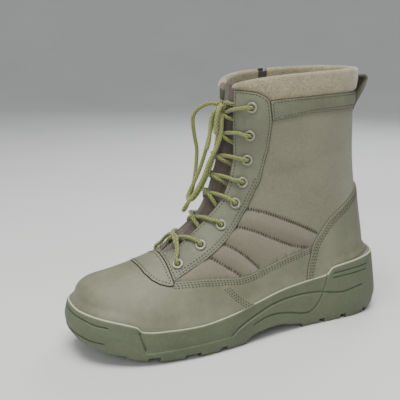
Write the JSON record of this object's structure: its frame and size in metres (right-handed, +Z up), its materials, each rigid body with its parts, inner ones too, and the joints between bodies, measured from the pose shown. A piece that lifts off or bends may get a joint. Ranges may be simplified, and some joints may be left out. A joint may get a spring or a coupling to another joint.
{
  "type": "combat boot",
  "caption": "Left lace-up combat boot with a moulded lug sole, leather vamp, quilted fabric shaft, padded collar, tied laces and a medial side zip.",
  "frame": {"origin": "on the floor under the middle of the boot's bounding box", "axes": "+X from toe to heel, -Y towards the lateral (outer) side, +Z up"},
  "size_m": [0.315, 0.1087, 0.241],
  "materials": {
    "leather": "grey-green full-grain leather, low sheen",
    "nylon": "quilted woven nylon, taupe",
    "collar_suede": "suede, padded",
    "sole_rubber": "matt moulded rubber, olive",
    "footbed_foam": "cloth-covered foam",
    "webbing": "woven webbing",
    "lace": "round braided cord",
    "eyelet_enamel": "satin enamel with a worn bright rim",
    "zip_tape": "woven tape with a plastic coil",
    "zip_metal": "dark satin metal"
  },
  "bodies": {
    "boot": {"outsole": "sole_rubber", "insole": "footbed_foam", "upper": "nylon", "tongue": "nylon", "vamp": "leather", "throat_apron": "leather", "eyestay_lateral": "leather", "eyestay_medial": "leather", "counter": "leather", "backstay": "webbing", "collar_pad": "collar_suede", "collar_pad_medial": "collar_suede", "collar_band_lateral": "leather", "collar_band_medial": "leather", "storm_tab": "leather", "zip_tape": "zip_tape", "zip_chain": "zip_tape", "pull_loop": "webbing", "zip_slider": "zip_metal", "eyelet_lateral_1": "eyelet_enamel", "eyelet_lateral_2": "eyelet_enamel", "eyelet_lateral_3": "eyelet_enamel", "eyelet_lateral_4": "eyelet_enamel", "eyelet_lateral_5": "eyelet_enamel", "eyelet_lateral_6": "eyelet_enamel", "eyelet_lateral_7": "eyelet_enamel", "eyelet_lateral_8": "eyelet_enamel", "eyelet_medial_1": "eyelet_enamel", "eyelet_medial_2": "eyelet_enamel", "eyelet_medial_3": "eyelet_enamel", "eyelet_medial_4": "eyelet_enamel", "eyelet_medial_5": "eyelet_enamel", "eyelet_medial_6": "eyelet_enamel", "eyelet_medial_7": "eyelet_enamel", "eyelet_medial_8": "eyelet_enamel", "lace_cross_1": "lace", "lace_cross_2": "lace", "lace_cross_3": "lace", "lace_cross_4": "lace", "lace_cross_5": "lace", "lace_cross_6": "lace", "lace_cross_7": "lace", "lace_top_lateral": "lace", "lace_top_medial": "lace", "lace_knot": "lace", "lace_bow_long": "lace", "lace_bow_short": "lace", "lace_end_long": "lace", "lace_end_short": "lace"},
    "pull_tab": {"zip_pull": "zip_metal"}
  },
  "joints": [
    {"name": "zip_pull_hinge", "type": "hinge", "parent": "boot", "child": "pull_tab", "pos_m": [0.05183, 0.05135, 0.23094], "axis": [0.9997, 0.0258, -0.0006], "range_deg": [0, 170]}
  ]
}
